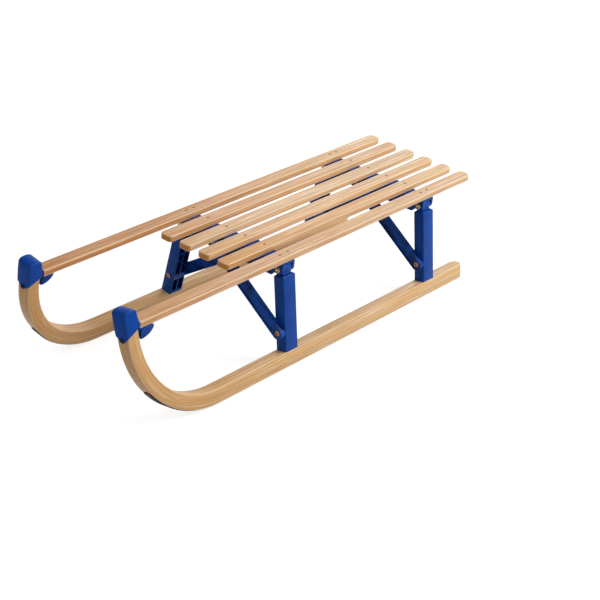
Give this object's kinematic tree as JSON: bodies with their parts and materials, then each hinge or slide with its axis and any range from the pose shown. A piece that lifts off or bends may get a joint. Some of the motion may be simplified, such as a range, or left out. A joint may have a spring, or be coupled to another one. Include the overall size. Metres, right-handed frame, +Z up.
{
  "type": "folding wooden sledge",
  "caption": "Folding wooden sledge with bent laminated runners, a slatted seat on two hinged plastic trestles, steel sole strips and nose caps.",
  "frame": {"origin": "bottom centre of the bounding box, on the ground that the steel strips stand on", "axes": "+X forward to the nose, +Y to the rider's left, +Z up"},
  "size_m": [1.097, 0.3686, 0.272],
  "materials": {
    "slat_beech": "smooth varnished beech",
    "runner_beech": "varnished laminated beech",
    "blue_plastic": "moulded, satin gloss",
    "steel_strip": "dark rolled steel",
    "yellow_zinc": "yellow zinc plated"
  },
  "bodies": {
    "left_runner_frame": {"runner_left": "runner_beech", "runner_strip_left": "steel_strip", "nose_cap_left": "blue_plastic", "nose_bolt_left": "yellow_zinc", "leg_front_left": "blue_plastic", "strut_bolt_front_left": "yellow_zinc", "strut_nut_front_left": "yellow_zinc", "leg_rear_left": "blue_plastic", "strut_bolt_rear_left": "yellow_zinc", "strut_nut_rear_left": "yellow_zinc"},
    "left_seat_half": {"inner_slat_left": "slat_beech", "outer_slat_left": "slat_beech", "long_slat_left": "slat_beech", "pivot_shoe_left": "blue_plastic", "beam_front_left": "blue_plastic", "pivot_bolt_front_left": "yellow_zinc", "pivot_nut_front_left": "yellow_zinc", "strut_stud_front_left": "yellow_zinc", "beam_rear_left": "blue_plastic", "pivot_bolt_rear_left": "yellow_zinc", "pivot_nut_rear_left": "yellow_zinc", "strut_stud_rear_left": "yellow_zinc", "hinge_pin_front": "yellow_zinc", "hinge_pin_rear": "yellow_zinc"},
    "left_front_strut": {"strut_front_left": "blue_plastic", "strut_screw_front_left": "yellow_zinc"},
    "left_rear_strut": {"strut_rear_left": "blue_plastic", "strut_screw_rear_left": "yellow_zinc"},
    "right_runner_frame": {"runner_right": "runner_beech", "runner_strip_right": "steel_strip", "nose_cap_right": "blue_plastic", "nose_bolt_right": "yellow_zinc", "leg_front_right": "blue_plastic", "strut_bolt_front_right": "yellow_zinc", "strut_nut_front_right": "yellow_zinc", "leg_rear_right": "blue_plastic", "strut_bolt_rear_right": "yellow_zinc", "strut_nut_rear_right": "yellow_zinc"},
    "right_seat_half": {"inner_slat_right": "slat_beech", "outer_slat_right": "slat_beech", "long_slat_right": "slat_beech", "pivot_shoe_right": "blue_plastic", "beam_front_right": "blue_plastic", "pivot_bolt_front_right": "yellow_zinc", "pivot_nut_front_right": "yellow_zinc", "strut_stud_front_right": "yellow_zinc", "beam_rear_right": "blue_plastic", "pivot_bolt_rear_right": "yellow_zinc", "pivot_nut_rear_right": "yellow_zinc", "strut_stud_rear_right": "yellow_zinc"},
    "right_front_strut": {"strut_front_right": "blue_plastic", "strut_screw_front_right": "yellow_zinc"},
    "right_rear_strut": {"strut_rear_right": "blue_plastic", "strut_screw_rear_right": "yellow_zinc"}
  },
  "joints": [
    {"name": "left_seat_pivot", "type": "hinge", "parent": "left_runner_frame", "child": "left_seat_half", "pos_m": [0, 0.1345, 0.21125], "axis": [-1, 0, 0], "range_deg": [0, 80]},
    {"name": "centre_hinge", "type": "hinge", "parent": "left_seat_half", "child": "right_seat_half", "pos_m": [0, 0, 0.19275], "axis": [1, 0, 0], "range_deg": [0, 180]},
    {"name": "right_seat_pivot", "type": "hinge", "parent": "right_seat_half", "child": "right_runner_frame", "pos_m": [0, -0.1345, 0.21125], "axis": [-1, 0, 0], "range_deg": [0, 80]},
    {"name": "left_front_strut_pivot", "type": "hinge", "parent": "left_runner_frame", "child": "left_front_strut", "pos_m": [0.09, 0.15758, 0.07763], "axis": [-1, 0, 0], "range_deg": [0, 36.7]},
    {"name": "right_front_strut_pivot", "type": "hinge", "parent": "right_runner_frame", "child": "right_front_strut", "pos_m": [0.09, -0.15758, 0.07763], "axis": [1, 0, 0], "range_deg": [0, 36.7]},
    {"name": "left_rear_strut_pivot", "type": "hinge", "parent": "left_runner_frame", "child": "left_rear_strut", "pos_m": [-0.3855, 0.15758, 0.07763], "axis": [-1, 0, 0], "range_deg": [0, 36.7]},
    {"name": "right_rear_strut_pivot", "type": "hinge", "parent": "right_runner_frame", "child": "right_rear_strut", "pos_m": [-0.3855, -0.15758, 0.07763], "axis": [1, 0, 0], "range_deg": [0, 36.7]}
  ],
  "couplings": [
    {"joint": "centre_hinge", "follows": "left_seat_pivot", "ratio": 2.25},
    {"joint": "right_seat_pivot", "follows": "left_seat_pivot", "ratio": 1},
    {"joint": "left_front_strut_pivot", "follows": "left_seat_pivot", "ratio": 0.45877},
    {"joint": "right_front_strut_pivot", "follows": "left_seat_pivot", "ratio": 0.45877},
    {"joint": "left_rear_strut_pivot", "follows": "left_seat_pivot", "ratio": 0.45877},
    {"joint": "right_rear_strut_pivot", "follows": "left_seat_pivot", "ratio": 0.45877}
  ]
}
